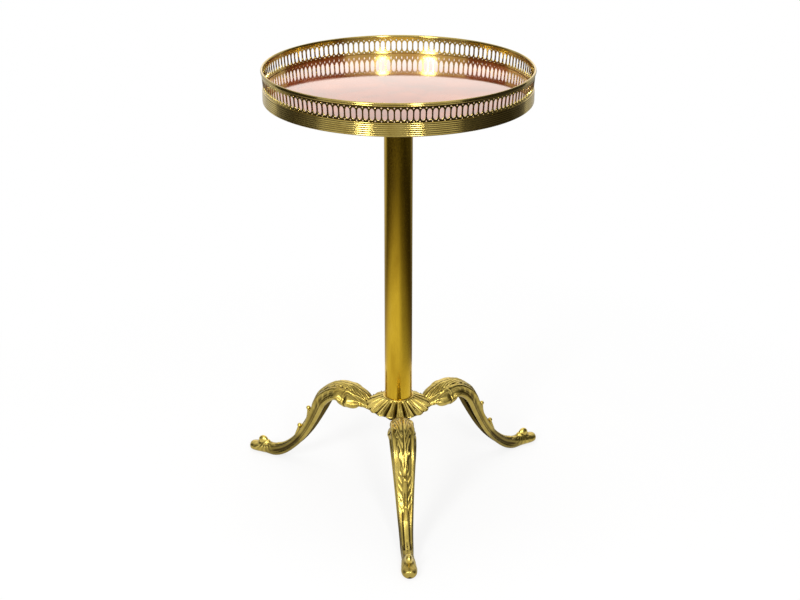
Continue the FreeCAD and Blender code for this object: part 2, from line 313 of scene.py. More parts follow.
def brass(name, bright, dark, tarnish_scale, rough, stretch=(1, 1, 1), pitted=0.0, grain=(1, 1, 1)):
    """Aged brass: bright where rubbed, brown in recesses and in painted shade, mottled with tarnish, finely
    scratched.
    """
    mat, tree_nodes, links, shader = material(name)
    # the wear value also carries painted shade, which darkens the metal as in a recess
    wear_and_shade = tree_nodes.new("ShaderNodeAttribute")
    wear_and_shade.attribute_name = "wear_and_shade"
    mottle = noise(tree_nodes, links, tarnish_scale, stretch, 6.0, 0.6)
    tint = ramp(tree_nodes, links, mottle, [
        (0.30, tuple(TARNISH * s * c for s, c in zip(WARM, bright))),
        (0.52, bright),
        (0.72, tuple(min(1.0, 1.08 * c + 0.02) for c in bright)),
    ])
    bright_share = map_range(tree_nodes, links, wear_and_shade.outputs["Fac"], *RUBBED_WEAR, 0.0, 1.0)
    colour = mix_colour(tree_nodes, links, bright_share, dark, tint)
    links.new(colour, shader.inputs["Base Color"])
    shader.inputs["Metallic"].default_value = 1.0
    gloss = map_range(tree_nodes, links, mottle, 0.3, 0.75, rough[1], rough[0])
    links.new(gloss, shader.inputs["Roughness"])
    scratch = noise(tree_nodes, links, SCRATCH_SCALE, grain, 3.0, 0.6)
    pits = noise(tree_nodes, links, PIT_SCALE, (1, 1, 1), 5.0, 0.65)
    relief = tree_nodes.new("ShaderNodeBump")
    relief.inputs["Strength"].default_value = SCRATCH_STRENGTH
    relief.inputs["Distance"].default_value = SCRATCH_DEPTH
    links.new(math_node(tree_nodes, links, "MULTIPLY_ADD", pits, pitted, scratch), relief.inputs["Height"])
    links.new(relief.outputs["Normal"], shader.inputs["Normal"])
    return mat


def steel():
    """Dull grey steel of the screws, bolts, rod and nut."""
    mat, tree_nodes, links, shader = material("plain_steel")
    mottle = noise(tree_nodes, links, 160.0, (1, 1, 0.4), 5.0)
    colour = ramp(tree_nodes, links, mottle, [(0.35, (0.20, 0.19, 0.18)), (0.7, (0.46, 0.45, 0.44))])
    links.new(colour, shader.inputs["Base Color"])
    shader.inputs["Metallic"].default_value = 1.0
    links.new(map_range(tree_nodes, links, mottle, 0.3, 0.7, 0.5, 0.32), shader.inputs["Roughness"])
    return mat


def marble():
    """Polished red-brown marble: clouded ground with soft pale drifts and thin dark seams."""
    mat, tree_nodes, links, shader = material("red_brown_marble")
    cloud = noise(tree_nodes, links, 14.0, (1.0, 1.6, 1.0), 8.0, 0.62)
    ground = ramp(tree_nodes, links, cloud, [
        (0.30, (0.150, 0.020, 0.005)),
        (0.48, (0.250, 0.042, 0.011)),
        (0.62, (0.340, 0.075, 0.024)),
        (0.76, (0.430, 0.160, 0.080)),
    ])
    bend = noise(tree_nodes, links, 8.0, (1, 1, 1), 7.0, 0.6)
    rise = map_range(tree_nodes, links, bend, 0.5 - SEAM_HALF, 0.5, 0.0, 1.0)
    fall = map_range(tree_nodes, links, bend, 0.5, 0.5 + SEAM_HALF, 1.0, 0.0)
    seam = math_node(tree_nodes, links, "MULTIPLY", rise, fall)
    thin = map_range(tree_nodes, links, seam, 0.3, 1.0, 0.0, 0.55)
    links.new(mix_colour(tree_nodes, links, thin, ground, SEAM_COLOUR), shader.inputs["Base Color"])
    gloss = map_range(tree_nodes, links, cloud, 0.3, 0.7, 0.05, 0.10)
    links.new(gloss, shader.inputs["Roughness"])
    shader.inputs["Specular IOR Level"].default_value = 0.65
    shader.inputs["Coat Weight"].default_value = 0.35
    shader.inputs["Coat Roughness"].default_value = 0.04
    return mat


CAST_BRASS = brass(
    "cast_brass", bright=(0.60, 0.46, 0.11), dark=(0.050, 0.033, 0.009), tarnish_scale=60.0,
    rough=(0.22, 0.40), pitted=3.0,
)
GALLERY_BRASS = brass(
    "gallery_brass", bright=(0.58, 0.44, 0.120), dark=(0.045, 0.030, 0.010), tarnish_scale=45.0,
    rough=(0.08, 0.18), pitted=0.1, grain=(0.05, 0.05, 1),
)
COLUMN_BRASS = brass(
    "column_brass", bright=(0.62, 0.40, 0.028), dark=(0.12, 0.07, 0.010), tarnish_scale=38.0,
    rough=(0.12, 0.24), stretch=(1, 1, 0.22), pitted=1.6, grain=(0.1, 0.1, 1),
)
PLAIN_BRASS = brass(
    "plain_brass", bright=(0.36, 0.27, 0.09), dark=(0.08, 0.052, 0.016), tarnish_scale=70.0,
    rough=(0.38, 0.55), pitted=0.6,
)
STEEL = steel()
MARBLE = marble()

# Gallery
SLOT_COUNT = 144
SLOT_WIDTH = 5.0 * MM
SLOT_HEIGHT = 12.6 * MM
SLOT_END = 3.9 * MM                     # height of each drawn-out end
SLOT_BELOW_RIM = 13.0 * MM
SLOT_ARC = 8                            # steps on each round end
DOT_RADIUS = 0.70 * MM
DOT_BELOW_RIM = (5.8 * MM, 20.2 * MM)
DOT_ARC = 6
half_bay = math.pi * strip_middle / SLOT_COUNT
TINY = 1e-9                             # less than any real step of the outlines
FLAT_EPSILON = 1e-6                     # for the triangles of a bay, in millimetres
WELD_DISTANCE = 0.01 * MM
STRIP_SHARP = 0.6                       # edges of the strip sharper than this, in radians, stay sharp
STRIP_BEVEL, STRIP_BEVEL_ANGLE = 0.16 * MM, 0.9
ROLL_HEIGHT = 4.0 * MM                  # rolled edge under the bead, down from the rim
ROLL_BULGE = 0.55 * MM
ROLL_SUNK = 0.1 * MM
BEAD_EDGE, BEAD_SPRING = 0.1 * MM, 0.3 * MM  # over the bead's foot: its edge, and the start of its round
BEAD_ARC = 12
BEAD_WEAR = 0.48
REEDS = 6
REED_BULGE = 0.75 * MM
REED_ARC = 8
BAND_FILLET = 1.8 * MM
# Shares of the fillet's height and of the bulge
FILLET_PROFILE = ((0.15, 0.1), (0.3, 0.5), (0.6, 0.6), (0.85, 0.4))


def bay_outline():
    """Outer edge of one bay (across, height), counter-clockwise, with half a dot cut into each side."""
    sides = []
    for side in (1, -1):
        edge = [(side * half_bay, band_low), (side * half_bay, band_high)]
        for below in reversed(DOT_BELOW_RIM):
            for i in range(DOT_ARC + 1):
                turn = math.pi * i / DOT_ARC
                across = side * (half_bay - DOT_RADIUS * math.sin(turn))
                edge.append((across, rim - below - DOT_RADIUS * math.cos(turn)))
        edge.append((side * half_bay, strip_high))
        sides.append(edge)
    return sides[0] + sides[1][::-1]


def slot_outline():
    """Slot of one bay with drawn-out round ends, clockwise."""
    straight = SLOT_HEIGHT / 2 - SLOT_END
    middle = rim - SLOT_BELOW_RIM
    points = []
    for top in (1, -1):
        for i in range(SLOT_ARC + 1):
            turn = math.pi * i / SLOT_ARC
            x = -top * SLOT_WIDTH / 2 * math.cos(turn)
            points.append((x, middle + top * (straight + SLOT_END * math.sin(turn))))
    return points


def in_opening(x, z):
    """True inside the slot of a bay or one of its half dots."""
    past = max(0.0, abs(z - rim + SLOT_BELOW_RIM) - SLOT_HEIGHT / 2 + SLOT_END)
    in_slot = math.hypot(x / (SLOT_WIDTH / 2), past / SLOT_END) < 1
    in_dot = any(math.hypot(abs(x) - half_bay, z - rim + below) < DOT_RADIUS for below in DOT_BELOW_RIM)
    return in_slot or in_dot


def along_dot(first, second):
    """True where a step of the bay's edge runs along a dot."""
    across = (abs(first[0]) + abs(second[0])) / 2
    return first[0] * second[0] > 0 and across < half_bay - TINY


def gallery_strip_mesh():
    """The pierced strip: one bay triangulated in the flat, thickened and repeated round the ring."""
    edge, hole = bay_outline(), slot_outline()
    flat = edge + hole
    count = len(flat)
    loops = [range(len(edge)), range(len(edge), count)]
    constraints = [(loop[i - 1], loop[i]) for loop in loops for i in range(len(loop))]
    made = delaunay_2d_cdt([Vector((x / MM, z / MM)) for x, z in flat], constraints, [], 1, FLAT_EPSILON)
    places = [(v.x * MM, v.y * MM) for v in made[0]]
    faces = []
    for triangle in made[2]:
        x, z = np.mean([places[i] for i in triangle], axis=0)
        if not in_opening(x, z):
            faces.append(triangle)
    steps = constraints[:len(edge)]
    walls = constraints[len(edge):]
    walls += [(a, b) for a, b in steps if along_dot(edge[a], edge[b])]
    walls += [(a, b) for a, b in steps if edge[a][1] == edge[b][1]]
    points, sides = [], []
    for k in range(SLOT_COUNT):
        turn = (k + 0.5) * 2 * math.pi / SLOT_COUNT
        base = len(points)
        for radius in (strip_outer, strip_inner):
            for x, z in places:
                a = turn + x / strip_middle
                lean = strip_flare * max(0.0, z - band_high) / (strip_high - band_high)
                points.append(((radius + lean) * math.cos(a), (radius + lean) * math.sin(a), z))
        for a, b, c in faces:
            sides.append((base + a, base + b, base + c))
            sides.append((base + count + c, base + count + b, base + count + a))
        for a, b in walls:
            sides.append((base + b, base + a, base + count + a, base + count + b))
    return new_mesh("gallery_strip_pierced", points, sides, sharp=None)


def weld(mesh, distance):
    """Joins points that lie together, and turns the faces outward."""
    edit = bmesh.new()
    edit.from_mesh(mesh)
    bmesh.ops.remove_doubles(edit, verts=edit.verts, dist=distance)
    bmesh.ops.recalc_face_normals(edit, faces=edit.faces)
    edit.to_mesh(mesh)
    edit.free()


def make_strip():
    strip = gallery_strip_mesh()
    weld(strip, WELD_DISTANCE)
    strip.set_sharp_from_angle(angle=STRIP_SHARP)
    obj = add_piece("gallery_strip_pierced", strip, GALLERY_BRASS, "table", "gallery_brass", "gallery_strip")
    bevel = obj.modifiers.new("soft_edges", "BEVEL")
    bevel.width = STRIP_BEVEL
    bevel.segments = 2
    bevel.limit_method = "ANGLE"
    bevel.angle_limit = STRIP_BEVEL_ANGLE


def strip_face(z):
    """Radius of the strip's outer face, which leans out above the band."""
    return strip_outer + strip_flare * (z - band_high) / (strip_high - band_high)


def make_bead():
    """Half-round bead along the rim, with the rolled edge of the strip under it."""
    middle = (bead_inner + bead_outer) / 2
    half = (bead_outer - bead_inner) / 2
    foot = rim - ROLL_HEIGHT
    spring = bead_low + BEAD_SPRING
    profile = [
        (bead_inner, bead_low),
        (strip_face(bead_low) - ROLL_SUNK, bead_low),
        (strip_face(foot) - ROLL_SUNK, foot),
    ]
    wear_and_shade = [0.4, 0.3, 0.3]
    for share in np.linspace(0, 1, BEAD_ARC + 1):
        z = foot + share * (bead_low - foot)
        profile.append((strip_face(z) + ROLL_BULGE * math.sin(math.pi * share), z))
        wear_and_shade.append(0.35 + 0.5 * math.sin(math.pi * share))
    profile.append((bead_outer, bead_low + BEAD_EDGE))
    wear_and_shade.append(0.35)
    for i in range(BEAD_ARC + 1):
        turn = math.pi * i / BEAD_ARC
        profile.append((middle + half * math.cos(turn), spring + (rim - spring) * math.sin(turn)))
        wear_and_shade.append(BEAD_WEAR)
    bead = turned_mesh("gallery_bead_round", profile, wear_and_shade)
    add_piece("gallery_bead_round", bead, GALLERY_BRASS, "table", "gallery_brass", "gallery_bead")


def make_band():
    """Band of reeds round the foot of the strip, with a low fillet over them."""
    reed = (band_high - band_low - BAND_FILLET) / REEDS
    root = band_radius - REED_BULGE
    profile, wear_and_shade = [(strip_outer, band_low), (root, band_low)], [0.4, 0.3]
    for k in range(REEDS):
        for i in range(1, REED_ARC + 1):
            turn = math.pi * i / REED_ARC
            z = band_low + reed * (k + 0.5 - 0.5 * math.cos(turn))
            profile.append((root + REED_BULGE * math.sin(turn), z))
            # wear falls to nothing in the grooves between the reeds: partly patina, partly painted shade
            wear_and_shade.append(max(0.0, 1.30 * math.sin(turn) - 0.40))
    for share, out in FILLET_PROFILE:
        profile.append((root + out * REED_BULGE, band_high - (1 - share) * BAND_FILLET))
        wear_and_shade.append(0.3 + 0.8 * out)
    profile.append((strip_outer, band_high))
    wear_and_shade.append(0.3)
    band = turned_mesh("reeded_band_turned", profile, wear_and_shade)
    add_piece("reeded_band_turned", band, GALLERY_BRASS, "table", "gallery_brass", "reeded_band")


# Marble and column
MARBLE_ARRIS = 0.9 * MM
ARRIS_ARC = 4
MARBLE_CENTRE = 1 * MM                  # radius of the single face in the middle
COLUMN_STEPS = 160


def make_marble():
    """The loose disc, with a small round along its upper edge."""
    profile = [(MARBLE_CENTRE, marble_low), (marble_radius, marble_low)]
    for i in range(ARRIS_ARC + 1):
        turn = math.pi / 2 * i / ARRIS_ARC
        r = marble_radius - MARBLE_ARRIS + MARBLE_ARRIS * math.cos(turn)
        profile.append((r, marble_high - MARBLE_ARRIS + MARBLE_ARRIS * math.sin(turn)))
    profile.append((MARBLE_CENTRE, marble_high))
    points = turned(profile)
    faces = grid_faces(len(profile), RING_STEPS)
    faces.append(tuple(range(RING_STEPS))[::-1])
    faces.append(tuple(range(len(points) - RING_STEPS, len(points))))
    mesh = new_mesh("marble_disc", points, faces)
    add_piece("marble_disc", mesh, MARBLE, "marble", "marble", "marble_top")


def make_column():
    profile = [
        (tube_inner, tube_low), (tube_radius, tube_low), (tube_radius, tube_high), (tube_inner, tube_high),
    ]
    mesh = turned_mesh("column_tube_polished", profile, steps=COLUMN_STEPS)
    add_piece("column_tube_polished", mesh, COLUMN_BRASS, "table", "column_brass", "column_tube")


# Collar
LOBES = 18
LOBE_STEPS = 20
LOBE_DEPTH = 5.0 * MM
LOBE_ROUND = 0.65                       # power that rounds a lobe: the lower, the fuller
LOBE_RIBS = 0.06                        # this and the next are shares of the lobe depth
COLLAR_SUNK = 0.10
LIP_SCALLOP = 0.6 * MM
# Profile from the foot up over the lip to the column: shares of the run from bore to lip and of the height,
# and share of the lobe depth.
COLLAR_PROFILE = [
    (0.93, 0.06, 0.36), (0.98, 0.08, 0.54), (1.00, 0.14, 0.62), (0.98, 0.22, 0.64),
    (0.91, 0.30, 0.72), (0.75, 0.43, 0.88), (0.54, 0.58, 0.95), (0.33, 0.73, 0.85),
    (0.17, 0.85, 0.50), (0.08, 0.94, 0.14), (0.05, 1.00, 0.00),
]
COLLAR_ROW_STEPS = 6
# Underside and bore, in the first two of those shares
COLLAR_INSIDE = [(0.84, 0.05), (0.78, 0.05), (0.33, 0.25), (0.10, 0.50), (0.00, 0.50), (0.00, 1.00)]
NECK_OUT, NECK_RADIUS = 1.2 * MM, 0.9 * MM  # small ring where the collar meets the column
NECK_ARC = 12


def make_collar():
    """Gadrooned collar: a turned profile that sinks between the lobes, with a ring at its neck."""
    run = collar_radius - collar_bore
    rise = collar_high - collar_low
    rows = spline(COLLAR_PROFILE, COLLAR_ROW_STEPS)
    steps = LOBES * LOBE_STEPS
    turn = -math.pi / 2 + full_turn(steps)
    across = ((np.arange(steps) + LOBE_STEPS / 2) % LOBE_STEPS) / LOBE_STEPS * 2 - 1
    lobe = np.clip(1 - across ** 2, 0, 1) ** LOBE_ROUND
    midrib = LOBE_RIBS * np.cos(4 * math.pi * across) * (1 - np.abs(across)) ** 0.5
    points, wear_and_shade = [], []
    for i, (out, up, depth) in enumerate(rows):
        step = rows[min(i + 1, len(rows) - 1)] - rows[max(i - 1, 0)]
        slope = np.array([step[1] * rise, -step[0] * run])
        slope /= np.hypot(*slope)
        ribs = midrib * smooth(out, 0.35, 0.75) * depth
        sink = LOBE_DEPTH * (depth * (lobe - 1) + ribs - COLLAR_SUNK)
        lip = smooth(out, 0.7, 1.0) * LIP_SCALLOP * (1 - lobe) * (1 - smooth(up, 0.10, 0.30))
        r = collar_bore + out * run + slope[0] * sink
        points.append(ring(r, collar_low + up * rise + slope[1] * sink + lip, turn))
        share = smooth(depth, 0.0, 0.6)
        worn = np.clip(0.08 + 0.85 * lobe ** 1.3 + 1.5 * ribs, 0, 1)
        wear_and_shade.append(worn * share + PLAIN_WEAR * (1 - share))
    inside = [ring(collar_bore + out * run, collar_low + up * rise, turn) for out, up in COLLAR_INSIDE]
    values = np.concatenate(wear_and_shade[::-1] + [np.full(steps, 0.3)] * len(inside))
    faces = [f[::-1] for f in grid_faces(len(rows) + len(inside), steps, wrap_rows=True)]
    made = Builder()
    made.add(np.concatenate(points[::-1] + inside), faces, values)
    neck = [
        (collar_bore + NECK_OUT + NECK_RADIUS * math.cos(a), collar_high + NECK_RADIUS * (math.sin(a) - 1))
        for a in full_turn(NECK_ARC)
    ]
    made.add(turned(neck, steps), grid_faces(len(neck), steps, wrap_rows=True), 0.9)
    mesh = new_mesh("collar_gadrooned", made.points, made.faces, made.wear_and_shade, sharp=1.0)
    add_piece("collar_gadrooned", mesh, CAST_BRASS, "table", "cast_brass", "collar")


# Legs, drawn along +X. Stations from the collar to the toe, with shares of the run from collar to toe and of
# the start height for the middle line, then half width and half depth in millimetres, and depth of the hollow
# back as a share of the half depth.
LEG_ANGLES = {"leg_front": -90.0, "leg_right": 30.0, "leg_left": 150.0}
LEG_GAP = 0.5 * MM
LEG_START_HEIGHT = 106.8 * MM
LEG_STATIONS = [
    (0.000, 1.000, 9.5, 5.8, 0.0),
    (0.050, 1.039, 12.6, 8.5, 0.0),
    (0.108, 1.047, 14.8, 12.6, 0.0),
    (0.165, 1.062, 15.9, 13.4, 0.2),
    (0.211, 1.083, 16.1, 10.6, 0.5),
    (0.260, 1.072, 16.0, 9.2, 0.8),
    (0.315, 1.016, 15.6, 8.9, 1.1),
    (0.369, 0.922, 14.7, 9.2, 1.2),
    (0.415, 0.770, 13.2, 8.6, 1.2),
    (0.459, 0.622, 11.8, 7.6, 1.2),
    (0.511, 0.472, 10.5, 7.0, 1.2),
    (0.571, 0.333, 9.3, 6.4, 1.0),
    (0.631, 0.228, 8.4, 6.2, 0.7),
    (0.704, 0.135, 7.8, 6.7, 0.4),
    (0.789, 0.077, 7.5, 7.8, 0.1),
    (0.864, 0.070, 8.3, 7.4, 0.0),
    (0.939, 0.062, 9.2, 6.4, 0.0),
    (0.976, 0.059, 7.9, 5.8, 0.0),
    (0.993, 0.056, 5.2, 4.4, 0.0),
    (0.999, 0.055, 1.2, 0.9, 0.0),
]
RINGS_PER_STATION = 16
SECTION_STEPS = 5                       # points on each stretch of the section
OVAL_STATIONS = (13.0, 15.0)            # where the section turns to an oval for the foot

# Right half of the section from the crest to the edge of the back, as shares of half width and half depth
SECTION = [
    (0.00, 1.00), (0.26, 0.94), (0.48, 0.83), (0.62, 0.74), (0.75, 0.72), (0.84, 0.62), (0.86, 0.42),
    (0.80, 0.15), (0.79, -0.15), (0.88, -0.36), (0.98, -0.48), (1.00, -0.66), (0.92, -0.90), (0.78, -1.00),
]
# From there to the middle of the back: share of half width, and share of the hollow's depth
HOLLOW = [(0.62, 0.30), (0.52, 0.85), (0.00, 1.00)]


def rounded(a, b, share):
    """Point of the section moved by a share of the way to an oval."""
    turn = math.atan2(b, a)
    return a + share * (math.cos(turn) - a), b + share * (math.sin(turn) - b)


def leg_grid():
    """Plain casting: points by ring and place round the section, station numbers, distance from the crest."""
    start = collar_radius + LEG_GAP
    span = foot_reach - start
    table = [
        (start + run * span, rise * LEG_START_HEIGHT, half_width * MM, half_depth * MM, hollow)
        for run, rise, half_width, half_depth, hollow in LEG_STATIONS
    ]
    line = spline(table, RINGS_PER_STATION)
    station = np.arange(len(line)) / RINGS_PER_STATION
    tangent = np.gradient(line[:, :2], axis=0)
    tangent /= np.linalg.norm(tangent, axis=1, keepdims=True)
    rings, crest = [], []
    for oval, (x, z, half_width, half_depth, hollow), (tx, tz) in zip(
        smooth(station, *OVAL_STATIONS), line, tangent
    ):
        right = SECTION + [(a, b * hollow - 1) for a, b in HOLLOW]
        right = [rounded(a, b, oval) for a, b in right]
        right = [(a * half_width, b * half_depth) for a, b in right]
        left = [(-a, b) for a, b in right[-2:0:-1]]
        outline = spline(right + left, SECTION_STEPS, closed=True)
        rings.append(np.stack([x - tz * outline[:, 1], outline[:, 0], z + tx * outline[:, 1]], 1))
        steps = np.hypot(*np.diff(outline, axis=0, append=outline[:1]).T)
        walk = np.cumsum(steps) - steps
        past_back = np.arange(len(walk)) > len(walk) // 2
        crest.append(np.where(past_back, walk - steps.sum(), walk))
    return np.array(rings), station, np.array(crest)


# Ornament of the legs: places along the leg are stations, distances from the crest and heights millimetres.
# Each half width is a list of stations with a list of widths. In the functions, w is the station, q the
# distance from the crest with its side, and d that distance alone.
LEAF_HALF = ((0, 1, 2.5, 4.5, 6.0, 7.2, 8.4), (6.0, 9.0, 11.0, 10.5, 8.5, 5.6, 2.2))
LEAF_END, LEAF_FADE = 8.1, 0.3
LEAF_HEIGHT, LEAF_DISH = 0.55, 0.25
TEETH_PER_STATION, TEETH_SHIFT, TEETH_DEPTH = 1.15, 0.10, 0.26
VEIN_PITCH, VEIN_SLANT, VEIN_HEIGHT = 2.9, 3.2, 0.32
LIP_HALF = ((0, 3.5, 5.0, 6.5, 8.4), (2.0, 2.2, 1.7, 1.4, 0.9))
LIP_HEIGHT, GROOVE_DEPTH, LIP_CURL = 0.50, 0.6, 0.4
GROUND_DEPTH, PANEL_LINE, PANEL_CURL = 0.45, 0.08, 0.35
HUSK_HALF = ((8.5, 9.0, 9.6, 10.3), (2.4, 3.6, 3.0, 1.4))
HUSK_HEIGHT, HUSK_EDGE, SPRIG_HEIGHT = 0.7, 0.5, 0.45
FACET_HALF = ((10.5, 12.0, 14.0), (3.5, 3.3, 3.0))
FACET_HEIGHT, FACET_GROOVE = 0.45, 0.9
SCROLL_STATION = 2.35                   # highest place of the scroll
SCROLL_LENGTHS = (1.90, 0.50)           # from there towards the collar and towards the shin
SCROLL_DOWN, SCROLL_RADIUS = 27.0, 9.0  # distance from the crest and radius
SCROLL_BELLY, SCROLL_RING, SCROLL_NOTCH = 2.2, 0.45, 0.4
SCROLL_LINES = ((0.55, 1.08, 0.10, 0.13), (0.65, 1.55, 0.20, 0.16))  # height, place, curl and width
KNOB_STATION = 15.15
KNOB_STEP = 12.8                        # length of a station near the knob
SWELLING = (9.0, 6.5, 2.6)              # half length, half width and height under the knob
SHELL_PITCH, SHELL_HEIGHT = 0.40, 0.11  # pitch in radians


def waves(x, pitch):
    """Cosine with the given pitch."""
    return np.cos(2 * math.pi * x / pitch)


def leaf_relief(w, q):
    """Acanthus leaf from the collar over the knee to the upper bead: where it lies, and its height."""
    d = np.abs(q)
    half = np.interp(w, *LEAF_HALF)
    teeth = (0.5 - 0.5 * waves(TEETH_PER_STATION * w + TEETH_SHIFT * np.sign(q), 1)) ** 1.6
    margin = half * (1.04 - TEETH_DEPTH * smooth(w, 0.8, 2.4) * teeth)
    leaf = window(w, 0.0, LEAF_END, LEAF_FADE) * (1 - smooth(d, margin - 0.8, margin + 0.5))
    share = d / half
    veins = waves(d + VEIN_SLANT * w - 0.5 * np.sin(1.7 * w), VEIN_PITCH) * smooth(share, 0.15, 0.40)
    dish = np.sin(math.pi * np.clip(share, 0, 1))
    return leaf, leaf * (LEAF_HEIGHT + VEIN_HEIGHT * veins - LEAF_DISH * dish)


def midrib_relief(w, d):
    """Midrib of the leaf: a groove with a lip on each side, and a small curl on each lip at the knee."""
    lips = window(w, 0.0, LEAF_END, LEAF_FADE) * bump(d, np.interp(w, *LIP_HALF), 0.75)
    groove = window(w, 0.4, 7.6, 0.4) * bump(d, 0, 0.9)
    curls = bump(w, 4.9, 0.16) * bump(d, 2.2, 1.2)
    return LIP_HEIGHT * lips - GROOVE_DEPTH * groove + LIP_CURL * curls


def side_relief(w, d, leaf):
    """Sunk ground beside the leaf, and flowing lines and curls on the side panels of the knee."""
    ground = window(w, 2.5, 9.5, 0.6) * (1 - leaf) * (1 - smooth(d, 9.0, 11.0))
    lines = waves(d - 1.6 * np.sin(0.55 * w), 2.6) * window(w, 1.2, 6.0, 0.8) * window(d, 17.0, 27.0, 2.0)
    curls = np.clip(np.sin(2 * math.pi * (1.15 * w - d / 9.0)), 0, 1)
    curls = curls * window(w, 4.2, 7.6, 0.4) * window(d, 15.5, 20.0, 1.2)
    return PANEL_LINE * lines + PANEL_CURL * curls - GROUND_DEPTH * ground


def husk_relief(w, d):
    """Husk between the beads of the shin, with sprigs beside it."""
    half = np.interp(w, *HUSK_HALF)
    husk = window(w, 8.5, 10.2, 0.15) * (1 - smooth(d, half - 0.5, half + 0.4))
    ridges = HUSK_EDGE * (bump(d, 1.2, 0.6) - bump(d, 0, 0.5))
    sprigs = np.clip(np.sin(2 * math.pi * (1.9 * w + d / 6.0)), 0, 1)
    sprigs = sprigs * window(w, 8.2, 10.4, 0.3) * window(d, 4.0, 7.5, 0.8)
    return husk * (HUSK_HEIGHT + ridges) + SPRIG_HEIGHT * sprigs


def facet_relief(w, d):
    """Plain raised facet between two grooves on the lower shin."""
    edge = np.interp(w, *FACET_HALF)
    facet = FACET_HEIGHT * (1 - smooth(d, edge - 0.5, edge + 0.2))
    return window(w, 10.75, 13.6, 0.22) * (facet - FACET_GROOVE * bump(d, edge + 0.9, 0.85))


def with_scroll(height, w, d):
    """The relief with the scroll under the knee: a smooth belly with lines that curl round it."""
    length = np.where(w < SCROLL_STATION, *SCROLL_LENGTHS)
    away = np.hypot((w - SCROLL_STATION) / length, (d - SCROLL_DOWN) / SCROLL_RADIUS)
    belly = np.clip(1 - away ** 2, 0, 1)
    height = height * (1 - smooth(belly, 0.0, 0.5)) + SCROLL_BELLY * belly
    beyond = smooth(w - SCROLL_STATION, 0.1, 0.4) * smooth(d, 19.0, 26.0)
    height = height + beyond * (SCROLL_RING * bump(away, 1.38, 0.20) - SCROLL_NOTCH * bump(away, 1.00, 0.10))
    above = smooth(SCROLL_DOWN - d, 0.0, 5.0)
    for rise, place, curl, width in SCROLL_LINES:
        height = height + above * rise * bump(away, place + curl * (w - SCROLL_STATION), width)
    return height


def toe_relief(w, d):
    """Swelling that carries the knob on the instep, and shell lines from the knob round the toe."""
    along = KNOB_STEP * (w - KNOB_STATION)
    half_length, half_width, rise = SWELLING
    away = np.hypot(along / half_length, d / half_width)
    swelling = rise * np.clip(1 - away ** 2, 0, 1) ** 1.3
    lines = waves(np.arctan2(d, along + 2.0), SHELL_PITCH)
    lines = lines * window(np.hypot(along, d), 6.0, 17.0, 1.5) * window(w, 14.3, 17.2, 0.3)
    return swelling + SHELL_HEIGHT * lines


def carving(station, crest):
    """Height of the ornament over the plain casting, in millimetres."""
    w = station[:, None]
    q = crest / MM
    d = np.abs(q)
    leaf, height = leaf_relief(w, q)
    height = height + midrib_relief(w, d) + side_relief(w, d, leaf) + husk_relief(w, d) + facet_relief(w, d)
    return with_scroll(height, w, d) + toe_relief(w, d)


# Wear of the legs, with painted shade along the flutes and in the hollow back
CAVITY_PASSES = 14                      # how far the mean of the relief is taken
CAVITY_WEAR, CAVITY_GAIN = 0.56, 0.75
FACET_DARKENING = 0.22                       # how much darker the lower shin is beside the facet
FLUTE_PLACE = 0.266                     # flute on the side: share of the section from its back
# painted shade along the flute on the side: its width, and how much it darkens
FLUTE_WIDTH, FLUTE_PAINTED_SHADE = 0.022, 0.30
BACK_STATION, BACK_SHARE = 3.2, 0.19    # first station and share of the section of the hollow back, which gets painted shade
# painted shade in the hollow back under the leg: the share of its wear that is kept
BACK_PAINTED_SHADE = 0.35
ROOT_WEAR = 0.4


def cavity(height):
    """Wear from the carving: low in its hollows, high on its ridges."""
    mean = height.copy()
    for _ in range(CAVITY_PASSES):
        mean = (mean + np.roll(mean, 1, 1) + np.roll(mean, -1, 1)) / 3
        padded = np.vstack([mean[:1], mean, mean[-1:]])
        mean = (padded[:-2] + padded[1:-1] + padded[2:]) / 3
    return np.clip(CAVITY_WEAR + CAVITY_GAIN * (height - mean), 0.0, 1.0)


def leg_wear_and_shade(height, station, crest):
    """Wear of a leg from the carving, darker beside the facet, with painted shade along the flutes and in the
    hollow back.
    """
    w = station[:, None]
    columns = crest.shape[1]
    from_back = np.abs(np.arange(columns) - columns / 2)[None, :] / columns
    beside = window(w, 11.2, 14.4, 0.8) * smooth(np.abs(crest) / MM, 2.4, 4.0)
    flute = bump(from_back, FLUTE_PLACE, FLUTE_WIDTH) * window(w, 5.0, 13.5, 1.0)
    # darker beside the facet, and painted shade along the flute
    worn = cavity(height) - FACET_DARKENING * beside - FLUTE_PAINTED_SHADE * flute
    # painted shade: the hollow back under the leg is darkened
    back = (from_back < BACK_SHARE / 2) & (w > BACK_STATION)
    return np.clip(np.where(back, BACK_PAINTED_SHADE * worn, worn), 0, 1)


# Root, beads and knob of the legs
ROOT_HALF = 9.5 * MM
ROOT_BELOW = 6.8 * MM                   # foot of the root under the start of the middle line
ROOT_COVER = 4.0 * MM                   # how far inside the collar's edge the plain root ends
SHIN_BEADS = ((8.5, 2.9, 3.7), (10.3, 3.0, 3.0))  # station, radius and stand-off in millimetres
TAIL_BEND, TAIL_END = (5, 0.4), (14, -3.0)  # rings after the bead, and stand-off in millimetres
TAIL_STEPS = 16
TAIL_TAPER = (0.62, 1.25)               # shares of the bead's radius
KNOB_PLACE = (196.2 * MM, 15.6 * MM)    # distance from the column axis, and height
# Lobe and its wider foot: shift along and up and three radii in millimetres, wear, tilt in radians
KNOB_BALLS = ((0.0, 0.0, (7.0, 4.5, 7.3), 0.95, 0.10), (-2.4, -3.0, (8.4, 5.4, 5.2), 0.75, 0.45))


def grid_normals(grid):
    """Unit normals of a grid of rings."""
    along = np.gradient(grid, axis=0)
    across = np.roll(grid, -1, 1) - np.roll(grid, 1, 1)
    normal = np.cross(along, across)
    return normal / np.maximum(np.linalg.norm(normal, axis=2, keepdims=True), 1e-12)


